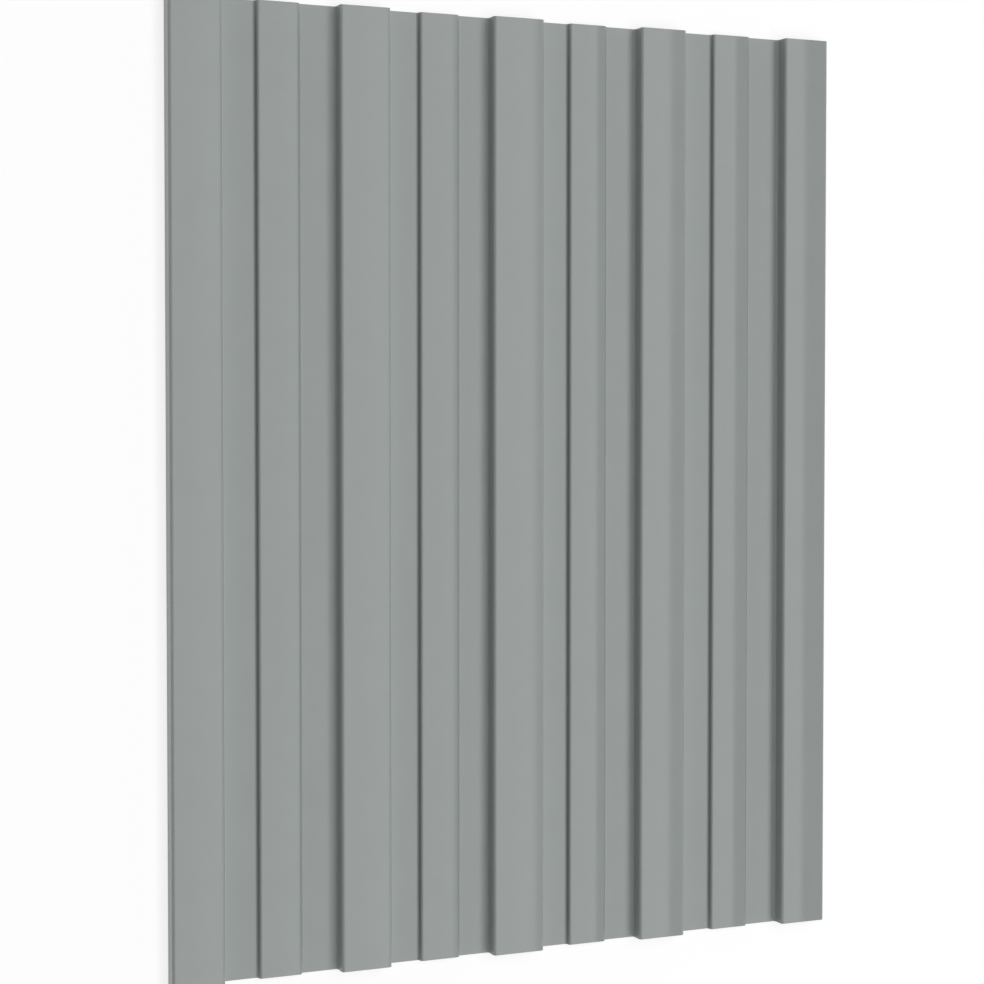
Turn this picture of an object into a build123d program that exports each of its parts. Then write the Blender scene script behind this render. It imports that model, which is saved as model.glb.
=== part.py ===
from build123d import *
import math
import os

# A box-rib metal sheet, roll-formed from one flat strip.
# Sizes are in millimetres. X runs across the sheet, Y along the ribs, and Z is up.
# The valleys lie on Z = 0, and the origin is the middle of the sheet's underside.
# A width or a height is measured between the lines where the flat faces would meet
# if the bends had no radius.

# The strip
sheet_length = 600.0
sheet_thickness = 0.5
bend_radius = 1.5  # on the inside of each bend

# Tall ribs, with one along each side edge; the middle one is a little wider
tall_rib_count = 5
tall_top_width = 32.2
middle_top_width = 34.2
tall_rib_height = 8.4
tall_flank_run = 1.0

# Low ribs, with one between each two tall ribs, a little left of midway
outer_low_top_width = 26.5
inner_low_top_width = 25.5
low_rib_height = 3.1
low_flank_run = 0.7
low_rib_shift = -0.9

# From one tall rib's middle to the next
inner_pitch = 101.9
outer_pitch = 106.2

# The most of a flank's length that its two bends may use up
bend_share_of_flank = 0.95


def is_outer_bay(bay):
    """Whether a bay between two tall ribs is the first or the last one."""
    return bay in (0, tall_rib_count - 2)


def tall_rib_centres():
    """X of each tall rib's middle, the whole row centred on X = 0."""
    centres = [0.0]
    for bay in range(tall_rib_count - 1):
        pitch = outer_pitch if is_outer_bay(bay) else inner_pitch
        centres.append(centres[-1] + pitch)
    middle = centres[-1] / 2
    return [x - middle for x in centres]


def rib_corners(centre, top_width, flank_run, height):
    """One rib's foot, two top corners and foot on the sheet's upper face."""
    half_top = top_width / 2
    half_foot = half_top + flank_run
    top_z = sheet_thickness + height
    return [
        (centre - half_foot, sheet_thickness),
        (centre - half_top, top_z),
        (centre + half_top, top_z),
        (centre + half_foot, sheet_thickness),
    ]


def rib_radii(flank_run, height):
    """Upper-face radii at a rib's foot and at its top, as far as the flank has room."""
    flank_length = math.hypot(flank_run, height)
    turn = math.atan2(height, flank_run)
    used_per_radius = math.tan(turn / 2)
    room = bend_share_of_flank * flank_length / used_per_radius
    inside = min(bend_radius, (room - sheet_thickness) / 2)
    outside = inside + sheet_thickness
    return [inside, outside, outside, inside]


def side_edge(foot, flank_run, height, outward):
    """Where a side flank ends: its cut edge just reaches the plane of the valleys."""
    flank_length = math.hypot(flank_run, height)
    end_z = sheet_thickness * flank_run / flank_length
    end_x = foot[0] + outward * flank_run * (sheet_thickness - end_z) / height
    return (end_x, end_z)


def upper_face_line():
    """Corner points of the upper face from side to side, and the radius at each bend."""
    centres = tall_rib_centres()
    points = []
    radii = []
    for index, centre in enumerate(centres):
        if index > 0:
            low_centre = (centres[index - 1] + centre) / 2 + low_rib_shift
            low_top = outer_low_top_width if is_outer_bay(index - 1) else inner_low_top_width
            points += rib_corners(low_centre, low_top, low_flank_run, low_rib_height)
            radii += rib_radii(low_flank_run, low_rib_height)
        tall_top = middle_top_width if index == tall_rib_count // 2 else tall_top_width
        points += rib_corners(centre, tall_top, tall_flank_run, tall_rib_height)
        radii += rib_radii(tall_flank_run, tall_rib_height)
    points[0] = side_edge(points[0], tall_flank_run, tall_rib_height, -1)
    points[-1] = side_edge(points[-1], tall_flank_run, tall_rib_height, 1)
    return points, radii[1:-1]


def sheet_section():
    """The sheet's cross-section: the upper face's line made one thickness deep."""
    points, radii = upper_face_line()
    with BuildLine(Plane.XZ) as upper_face:
        FilletPolyline(*points, radius=radii)
    outline = upper_face.wire().offset_2d(sheet_thickness, side=Side.RIGHT, closed=True)
    return make_face(outline)


def ribbed_sheet():
    """The whole sheet, with both ends cut square."""
    return extrude(sheet_section(), amount=sheet_length / 2, both=True)


os.makedirs("parts", exist_ok=True)
export_step(ribbed_sheet(), "parts/ribbed_sheet.step")
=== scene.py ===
"""Looks of a powder-coated box-rib metal sheet, in metres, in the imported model's own frame.

X runs across the sheet, Y along its ribs and Z up. The sheet lies on the floor at Z = 0.
"""

import math

import bpy
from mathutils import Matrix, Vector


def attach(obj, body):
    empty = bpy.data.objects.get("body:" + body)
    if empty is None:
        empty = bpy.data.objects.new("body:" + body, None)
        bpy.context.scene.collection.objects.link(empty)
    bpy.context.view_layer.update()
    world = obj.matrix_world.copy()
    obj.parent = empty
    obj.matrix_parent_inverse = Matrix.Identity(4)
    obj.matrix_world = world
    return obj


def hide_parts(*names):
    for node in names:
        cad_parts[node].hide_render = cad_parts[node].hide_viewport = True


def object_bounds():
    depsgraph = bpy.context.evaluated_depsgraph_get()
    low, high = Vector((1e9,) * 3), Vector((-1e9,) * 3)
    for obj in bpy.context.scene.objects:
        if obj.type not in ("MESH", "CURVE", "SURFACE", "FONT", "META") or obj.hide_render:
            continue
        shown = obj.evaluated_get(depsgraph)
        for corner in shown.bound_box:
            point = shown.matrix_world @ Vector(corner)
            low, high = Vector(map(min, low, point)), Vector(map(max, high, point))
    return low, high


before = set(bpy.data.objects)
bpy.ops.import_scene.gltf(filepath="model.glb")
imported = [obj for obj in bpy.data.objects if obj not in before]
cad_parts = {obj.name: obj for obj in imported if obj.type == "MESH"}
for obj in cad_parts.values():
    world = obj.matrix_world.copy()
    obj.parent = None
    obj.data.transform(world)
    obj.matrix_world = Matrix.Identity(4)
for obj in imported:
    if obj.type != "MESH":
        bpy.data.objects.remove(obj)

# The imported model's box, and the part in it that the sheet replaces
CAD_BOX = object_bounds()
NODE = "ribbed_sheet"

# The strip that the sheet is formed from
THICKNESS = 0.0005
BEND_RADIUS = 0.0015  # on the inside of each bend
CUT_EDGE_ROUNDING = 0.00008

# Ribs: top width between the flat faces' meeting lines, sideways run of one flank, and height.
# A top is flat, but from the share sheen_from of its width on, its shading normals lean to the
# right by up to sheen_turn, as if it rolled over too slightly to show in its outline.
TALL_RIB = {
    "top": 0.0322,
    "run": 0.001,
    "height": 0.0084,
    "sheen_from": 0.32,
    "sheen_turn": math.radians(7.5),
}
MIDDLE_RIB = {**TALL_RIB, "top": 0.0342}
OUTER_LOW_RIB = {
    "top": 0.0265,
    "run": 0.0007,
    "height": 0.0031,
    "sheen_from": 0.47,
    "sheen_turn": math.radians(8.6),
}
INNER_LOW_RIB = {**OUTER_LOW_RIB, "top": 0.0255}
TALL_RIB_COUNT = 5
LOW_RIB_SHIFT = -0.0009  # from midway between two tall ribs
INNER_PITCH = 0.1019  # from one tall rib's middle to the next
OUTER_PITCH = 0.1062
BEND_SHARE_OF_FLANK = 0.95

# How finely the mesh follows the shape
SPANS_PER_BEND = 12
SPANS_PER_TOP = 16
SPANS_PER_VALLEY = 4
ROW_LENGTH = 0.025

# Powder coat: it mottles between two close greys, over a finely pebbled skin
COAT_GREYS = ((0.262, 0.287, 0.278), (0.268, 0.293, 0.284))
COAT_IOR = 1.58
MOTTLING = {"scale": 60.0, "detail": 4.0}
MOTTLING_SPAN = (0.3, 0.7)
PEBBLES = {"scale": 1600.0, "detail": 2.0}
PEBBLE_STRENGTH = 0.12
PEBBLE_DEPTH = 0.00002

# Its sheen: smudges change the roughness a little, and in the valleys it is dull with dust.
# Below are the heights between which it turns from dull to satin and a painted sheen fades out,
# then its roughness at both heights, then the tint of that painted sheen. Down in the valleys the
# tint multiplies the colour, making it paler to stand in for the reflection that their dull
# roughness takes away.
SMUDGES = {"scale": 35.0, "detail": 5.0}
SMUDGE_SPAN = (0.35, 0.70)
SMUDGE_ROUGHNESS = (-0.015, 0.035)
DULL_AND_PAINTED_SHEEN_HEIGHTS = (0.0008, 0.0030)
DULL_ROUGHNESS = (0.33, 0.13)
# Painted sheen: a paler multiplier for the colour down in the valleys, standing in for the
# reflection that their dull roughness takes away
PAINTED_SHEEN_TINT = (1.09, 1.09, 1.095)

# Cut edges: dulled zinc-coated steel with fine shear marks
EDGE_GREYS = ((0.24, 0.25, 0.25), (0.34, 0.35, 0.35))
EDGE_METALLIC = 0.6
EDGE_ROUGHNESS = 0.5
SHEAR_MARKS = {"scale": 900.0, "detail": 3.0}
SHEAR_MARK_SPAN = (0.35, 0.65)

# Floor: how much light it bounces, and how it looks, as a white glow mixed with a share of
# white paint that takes the shadow
FLOOR_SIZE = 6.0
FLOOR_DROP = 0.0002
FLOOR_BOUNCE = 0.9
FLOOR_GLOW = 1.09
FLOOR_SHADOW_SHARE = 0.3

# The studio's white walls light the sheet from low down: heights of a unit direction
# between which their light fades, and its strength at both
HORIZON_HEIGHTS = (0.12, 0.34)
HORIZON_LIGHT = (2.25, 0.03)

# Soft panels side by side overhead, from left to right, with the radiance of each.
# The coat's sheen shows only the mirrored ones.
PANEL_HEIGHT = 7.0
PANEL_LENGTH = 15.1
PANELS = [
    {"name": "left_panel", "left": -2.30, "right": 0.72, "radiance": 0.53, "mirrored": True},
    {"name": "main_panel", "left": 0.72, "right": 4.77, "radiance": 1.51, "mirrored": True},
    {"name": "key_panel", "left": 4.77, "right": 6.35, "radiance": 4.85, "mirrored": False},
    {"name": "far_panel", "left": 6.35, "right": 7.97, "radiance": 2.6, "mirrored": False},
]

# Camera, at the photograph's viewing angle
CAMERA_PLACE = (-0.4350, 0.0566, 1.1263)
CAMERA_YAW = math.radians(20.434)
CAMERA_PITCH = math.radians(1.5695)
SENSOR_WIDTH_MM = 36.0
LENS_MM = 68.516
CAMERA_SHIFT_Y = -0.04111


def is_outer_bay(bay):
    """Whether a bay between two tall ribs is the first or the last one."""
    return bay in (0, TALL_RIB_COUNT - 2)


def tall_rib_centres():
    """X of each tall rib's middle, the whole row centred on X = 0."""
    centres = [0.0]
    for bay in range(TALL_RIB_COUNT - 1):
        centres.append(centres[-1] + (OUTER_PITCH if is_outer_bay(bay) else INNER_PITCH))
    middle = centres[-1] / 2
    return [x - middle for x in centres]


def all_ribs():
    """Every rib from left to right, as (middle, rib)."""
    centres = tall_rib_centres()
    ribs = [(centres[0], TALL_RIB)]
    for bay in range(TALL_RIB_COUNT - 1):
        left, right = centres[bay : bay + 2]
        low_rib = OUTER_LOW_RIB if is_outer_bay(bay) else INNER_LOW_RIB
        ribs.append(((left + right) / 2 + LOW_RIB_SHIFT, low_rib))
        ribs.append((right, MIDDLE_RIB if bay + 1 == TALL_RIB_COUNT // 2 else TALL_RIB))
    return ribs


def flank_lean(rib):
    """How far the normal of a rib's flank leans away from straight up."""
    return math.atan2(rib["height"], rib["run"])


def bend_radii(rib):
    """Radii on the upper face, at the foot and at the top, as far as the flank has room."""
    flank = math.hypot(rib["run"], rib["height"])
    room = BEND_SHARE_OF_FLANK * flank / math.tan(flank_lean(rib) / 2)
    inside = min(BEND_RADIUS, (room - THICKNESS) / 2)
    return inside, inside + THICKNESS


def bend(corner, radius, turn_from, turn_to, sheen_from, sheen_to):
    """Stations round one bend. A station is (x, z, turn, sheen): a point of the upper face,
    how far its true normal leans to the right, and how far its shading normal does."""
    middle = (turn_from + turn_to) / 2
    half = abs(turn_to - turn_from) / 2
    convex = turn_to > turn_from
    reach = radius / math.cos(half)
    side = -1 if convex else 1
    centre_x = corner[0] + side * reach * math.sin(middle)
    centre_z = corner[1] + side * reach * math.cos(middle)
    stations = []
    for step in range(SPANS_PER_BEND + 1):
        share = step / SPANS_PER_BEND
        turn = turn_from + share * (turn_to - turn_from)
        sheen = sheen_from + share * (sheen_to - sheen_from)
        x = centre_x - side * radius * math.sin(turn)
        z = centre_z - side * radius * math.cos(turn)
        stations.append((x, z, turn, sheen))
    return stations


def between(first, last, spans):
    """Rows of numbers evenly between two rows of numbers, without the two themselves."""
    return [
        tuple(a + (b - a) * step / spans for a, b in zip(first, last))
        for step in range(1, spans)
    ]


def rib_stations(middle, rib):
    """Stations over one rib: its left foot's bend, all from bend to bend on top, and its
    right foot's bend."""
    half_top = rib["top"] / 2
    half_foot = half_top + rib["run"]
    foot_z = THICKNESS
    top_z = THICKNESS + rib["height"]
    lean = flank_lean(rib)
    sheen = rib["sheen_turn"]
    foot_radius, top_radius = bend_radii(rib)
    left_foot = bend((middle - half_foot, foot_z), foot_radius, 0.0, -lean, 0.0, -lean)
    left_top = bend((middle - half_top, top_z), top_radius, -lean, 0.0, -lean, 0.0)
    right_top = bend((middle + half_top, top_z), top_radius, 0.0, lean, sheen, lean)
    right_foot = bend((middle + half_foot, foot_z), foot_radius, lean, 0.0, lean, 0.0)
    flat_start = (*left_top[-1][:3], 0.0)
    flat_end = (*right_top[0][:3], 1.0)
    flat = []
    for x, z, turn, share in between(flat_start, flat_end, SPANS_PER_TOP):
        rolled = max(0.0, share - rib["sheen_from"]) / (1 - rib["sheen_from"])
        flat.append((x, z, turn, sheen * rolled))
    return left_foot, left_top + flat + right_top, right_foot


def side_edge(middle, rib, outward):
    """The station where a side flank ends: its cut edge just reaches the floor."""
    lean = flank_lean(rib)
    end_z = THICKNESS * math.cos(lean)
    foot_x = middle + outward * (rib["top"] / 2 + rib["run"])
    end_x = foot_x + outward * rib["run"] * (THICKNESS - end_z) / rib["height"]
    return (end_x, end_z, outward * lean, outward * lean)


def section_stations():
    """Stations along the whole section, from the left edge to the right edge."""
    ribs = all_ribs()
    stations = [side_edge(*ribs[0], -1)]
    for index, (middle, rib) in enumerate(ribs):
        left_foot, over, right_foot = rib_stations(middle, rib)
        if index > 0:
            stations += between(stations[-1], left_foot[0], SPANS_PER_VALLEY)
            stations += left_foot
        stations += over
        if index < len(ribs) - 1:
            stations += right_foot
    stations.append(side_edge(*ribs[-1], 1))
    return stations


def row_places():
    """(y, inset) of each row of points, with two close rows at each cut end to round it."""
    half = (CAD_BOX[1][1] - CAD_BOX[0][1]) / 2
    inner = half - CUT_EDGE_ROUNDING
    count = round(2 * inner / ROW_LENGTH)
    rows = [(-half, CUT_EDGE_ROUNDING)]
    rows += [(-inner + 2 * inner * step / count, 0.0) for step in range(count + 1)]
    rows.append((half, CUT_EDGE_ROUNDING))
    return rows


def sheet_points(stations, rows):
    """Every point and its shading normal: in each row the upper face's, then the lower's."""
    points = []
    normals = []
    for y, inset in rows:
        for depth, facing in ((inset, 1.0), (THICKNESS - inset, -1.0)):
            for x, z, turn, sheen in stations:
                points.append((x - depth * math.sin(turn), y, z - depth * math.cos(turn)))
                normals.append((facing * math.sin(sheen), 0.0, facing * math.cos(sheen)))
    return points, normals


def coated_faces(count, row_count):
    """The faces above and below, between each row and the next. A row has count points
    above and then count points below."""
    ring = 2 * count
    faces = []
    for row in range(row_count - 1):
        upper = row * ring
        lower = upper + count
        for i in range(count - 1):
            faces.append((upper + i, upper + i + 1, upper + ring + i + 1, upper + ring + i))
            faces.append((lower + i + 1, lower + i, lower + ring + i, lower + ring + i + 1))
    return faces


def cut_faces(count, row_count):
    """The faces of the cut edges: along both sides, and then across both ends."""
    ring = 2 * count
    last = count - 1
    faces = []
    for row in range(row_count - 1):
        upper = row * ring
        lower = upper + count
        faces.append((upper, upper + ring, lower + ring, lower))
        faces.append((upper + last, lower + last, lower + ring + last, upper + ring + last))
    for upper, far_end in ((0, False), ((row_count - 1) * ring, True)):
        lower = upper + count
        for i in range(count - 1):
            face = (upper + i, lower + i, lower + i + 1, upper + i + 1)
            faces.append(face[::-1] if far_end else face)
    return faces


def build_sheet():
    """The sheet as one closed mesh: smooth coated faces, and flat cut edges."""
    stations = section_stations()
    rows = row_places()
    points, normals = sheet_points(stations, rows)
    coated = coated_faces(len(stations), len(rows))
    cut = cut_faces(len(stations), len(rows))
    mesh = bpy.data.meshes.new("ribbed_panel")
    mesh.from_pydata(points, [], coated + cut)
    mesh.update()
    corner_normals = []
    for polygon in mesh.polygons:
        is_coated = polygon.index < len(coated)
        polygon.use_smooth = is_coated
        polygon.material_index = 0 if is_coated else 1
        for vertex in polygon.vertices:
            corner_normals.append(normals[vertex] if is_coated else tuple(polygon.normal))
    mesh.normals_split_custom_set(corner_normals)
    return bpy.data.objects.new("ribbed_panel", mesh)


def new_material(name):
    """An empty node material: the material, its nodes, its links and its surface's input."""
    material = bpy.data.materials.new(name)
    material.use_nodes = True
    nodes = material.node_tree.nodes
    nodes.clear()
    surface = nodes.new("ShaderNodeOutputMaterial").inputs["Surface"]
    return material, nodes, material.node_tree.links, surface


def noise(nodes, links, place, scale, detail):
    texture = nodes.new("ShaderNodeTexNoise")
    texture.inputs["Scale"].default_value = scale
    texture.inputs["Detail"].default_value = detail
    links.new(place, texture.inputs["Vector"])
    return texture.outputs["Fac"]


def colour_ramp(nodes, links, value, span, colours):
    """The first colour where the value is at the span's start, and the second at its end."""
    node = nodes.new("ShaderNodeValToRGB")
    for element, position, colour in zip(node.color_ramp.elements, span, colours):
        element.position = position
        element.color = (*colour, 1.0)
    links.new(value, node.inputs["Fac"])
    return node.outputs["Color"]


def map_range(nodes, links, value, source, target):
    """Value carried from the source span to the target span, and held at their ends."""
    node = nodes.new("ShaderNodeMapRange")
    for name, number in zip(("From Min", "From Max", "To Min", "To Max"), source + target):
        node.inputs[name].default_value = number
    links.new(value, node.inputs["Value"])
    return node.outputs["Result"]


def coat_colour(nodes, links, place, height):
    """Mottled grey, made paler down in the valleys by a painted sheen, which stands in for the
    reflection that their dull roughness takes away.
    """
    mottling = noise(nodes, links, place, **MOTTLING)
    greys = colour_ramp(nodes, links, mottling, MOTTLING_SPAN, COAT_GREYS)
    # Painted sheen: the grey is multiplied by a paler tint down in the valleys, standing in for
    # the reflection lost to their dull roughness
    painted_sheen = nodes.new("ShaderNodeMixRGB")
    painted_sheen.inputs["Color1"].default_value = (*PAINTED_SHEEN_TINT, 1.0)
    painted_sheen.inputs["Color2"].default_value = (1.0,) * 4
    links.new(map_range(nodes, links, height, DULL_AND_PAINTED_SHEEN_HEIGHTS, (0.0, 1.0)), painted_sheen.inputs["Fac"])
    with_painted_sheen = nodes.new("ShaderNodeVectorMath")
    with_painted_sheen.operation = "MULTIPLY"
    links.new(greys, with_painted_sheen.inputs[0])
    links.new(painted_sheen.outputs["Color"], with_painted_sheen.inputs[1])
    return with_painted_sheen.outputs["Vector"]


def coat_roughness(nodes, links, place, height):
    """Satin on the ribs and dull down in the valleys, with faint smudges all over."""
    dullness = map_range(nodes, links, height, DULL_AND_PAINTED_SHEEN_HEIGHTS, DULL_ROUGHNESS)
    smudges = noise(nodes, links, place, **SMUDGES)
    roughness = nodes.new("ShaderNodeMath")
    roughness.operation = "ADD"
    links.new(dullness, roughness.inputs[0])
    links.new(map_range(nodes, links, smudges, SMUDGE_SPAN, SMUDGE_ROUGHNESS), roughness.inputs[1])
    return roughness.outputs["Value"]


def pebbled_skin(nodes, links, place):
    """The fine bumps that powder leaves when it is baked."""
    bump = nodes.new("ShaderNodeBump")
    bump.inputs["Strength"].default_value = PEBBLE_STRENGTH
    bump.inputs["Distance"].default_value = PEBBLE_DEPTH
    links.new(noise(nodes, links, place, **PEBBLES), bump.inputs["Height"])
    return bump.outputs["Normal"]


def powder_coat():
    """Grey satin powder coat."""
    material, nodes, links, surface = new_material("grey_powder_coat")
    place = nodes.new("ShaderNodeTexCoord").outputs["Object"]
    parts = nodes.new("ShaderNodeSeparateXYZ")
    links.new(place, parts.inputs["Vector"])
    height = parts.outputs["Z"]
    shader = nodes.new("ShaderNodeBsdfPrincipled")
    shader.inputs["IOR"].default_value = COAT_IOR
    links.new(coat_colour(nodes, links, place, height), shader.inputs["Base Color"])
    links.new(coat_roughness(nodes, links, place, height), shader.inputs["Roughness"])
    links.new(pebbled_skin(nodes, links, place), shader.inputs["Normal"])
    links.new(shader.outputs["BSDF"], surface)
    return material


def cut_edge():
    """The strip's cut edge."""
    material, nodes, links, surface = new_material("cut_steel_edge")
    place = nodes.new("ShaderNodeTexCoord").outputs["Object"]
    marks = noise(nodes, links, place, **SHEAR_MARKS)
    colour = colour_ramp(nodes, links, marks, SHEAR_MARK_SPAN, EDGE_GREYS)
    shader = nodes.new("ShaderNodeBsdfPrincipled")
    shader.inputs["Metallic"].default_value = EDGE_METALLIC
    shader.inputs["Roughness"].default_value = EDGE_ROUGHNESS
    links.new(colour, shader.inputs["Base Color"])
    links.new(shader.outputs["BSDF"], surface)
    return material


def add_sheet():
    sheet = build_sheet()
    bpy.context.scene.collection.objects.link(sheet)
    sheet.data.materials.append(powder_coat())
    sheet.data.materials.append(cut_edge())
    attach(sheet, "root")
    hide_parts(NODE)


def seen_directly(nodes, links):
    """1 where a camera, glossy or transmission ray looks, and 0 for bounced light."""
    path = nodes.new("ShaderNodeLightPath")
    value = path.outputs["Is Camera Ray"]
    for other in ("Is Glossy Ray", "Is Transmission Ray"):
        greater = nodes.new("ShaderNodeMath")
        greater.operation = "MAXIMUM"
        links.new(value, greater.inputs[0])
        links.new(path.outputs[other], greater.inputs[1])
        value = greater.outputs["Value"]
    return value


def shader_mix(nodes, links, first, second):
    """Two shaders mixed: the mix's output, and its input for the second one's share."""
    mix = nodes.new("ShaderNodeMixShader")
    links.new(first, mix.inputs[1])
    links.new(second, mix.inputs[2])
    return mix.outputs["Shader"], mix.inputs["Fac"]


def floor_material():
    """White floor: it looks white, keeps a light shadow, and bounces light as pale paint."""
    material, nodes, links, surface = new_material("white_floor")
    bounce = nodes.new("ShaderNodeBsdfDiffuse")
    bounce.inputs["Color"].default_value = (FLOOR_BOUNCE,) * 3 + (1.0,)
    paint = nodes.new("ShaderNodeBsdfDiffuse")
    paint.inputs["Color"].default_value = (1.0,) * 4
    glow = nodes.new("ShaderNodeEmission")
    glow.inputs["Strength"].default_value = FLOOR_GLOW
    looks, paint_share = shader_mix(nodes, links, glow.outputs["Emission"], paint.outputs["BSDF"])
    paint_share.default_value = FLOOR_SHADOW_SHARE
    both, looks_share = shader_mix(nodes, links, bounce.outputs["BSDF"], looks)
    links.new(seen_directly(nodes, links), looks_share)
    links.new(both, surface)
    return material


def add_floor():
    half = FLOOR_SIZE / 2
    sides = [(-half, -half), (half, -half), (half, half), (-half, half)]
    mesh = bpy.data.meshes.new("floor")
    mesh.from_pydata([(x, y, -FLOOR_DROP) for x, y in sides], [], [(0, 1, 2, 3)])
    mesh.materials.append(floor_material())
    floor = bpy.data.objects.new("floor", mesh)
    bpy.context.scene.collection.objects.link(floor)


def add_world():
    """White where it is looked at, and as a light only its low rim is bright."""
    world = bpy.data.worlds.new("studio")
    bpy.context.scene.world = world
    world.use_nodes = True
    nodes = world.node_tree.nodes
    links = world.node_tree.links
    nodes.clear()
    parts = nodes.new("ShaderNodeSeparateXYZ")
    links.new(nodes.new("ShaderNodeTexCoord").outputs["Generated"], parts.inputs["Vector"])
    fade = map_range(nodes, links, parts.outputs["Z"], HORIZON_HEIGHTS, HORIZON_LIGHT)
    rim = nodes.new("ShaderNodeBackground")
    links.new(fade, rim.inputs["Strength"])
    white = nodes.new("ShaderNodeBackground")
    white.inputs["Color"].default_value = (1.0,) * 4
    white.inputs["Strength"].default_value = 1.0
    both, white_share = shader_mix(
        nodes, links, rim.outputs["Background"], white.outputs["Background"]
    )
    links.new(seen_directly(nodes, links), white_share)
    links.new(both, nodes.new("ShaderNodeOutputWorld").inputs["Surface"])


def add_panel(name, left, right, radiance, mirrored):
    """One soft panel. An area lamp's power is its radiance times pi times its area."""
    width = right - left
    lamp = bpy.data.lights.new(name, "AREA")
    lamp.shape = "RECTANGLE"
    lamp.size = width
    lamp.size_y = PANEL_LENGTH
    lamp.energy = radiance * math.pi * width * PANEL_LENGTH
    panel = bpy.data.objects.new(name, lamp)
    panel.location = ((left + right) / 2, 0.0, PANEL_HEIGHT)
    panel.visible_camera = False
    panel.visible_glossy = mirrored
    bpy.context.scene.collection.objects.link(panel)


def add_camera():
    data = bpy.data.cameras.new("photo_camera")
    data.sensor_width = SENSOR_WIDTH_MM
    data.lens = LENS_MM
    data.shift_y = CAMERA_SHIFT_Y
    camera = bpy.data.objects.new("photo_camera", data)
    camera.location = CAMERA_PLACE
    camera.rotation_euler = (-CAMERA_PITCH, -CAMERA_YAW, 0.0)
    bpy.context.scene.collection.objects.link(camera)
    bpy.context.scene.camera = camera


add_sheet()
add_floor()
add_world()
for panel in PANELS:
    add_panel(**panel)
add_camera()
bpy.context.scene.view_settings.view_transform = "Standard"
bpy.context.view_layer.update()
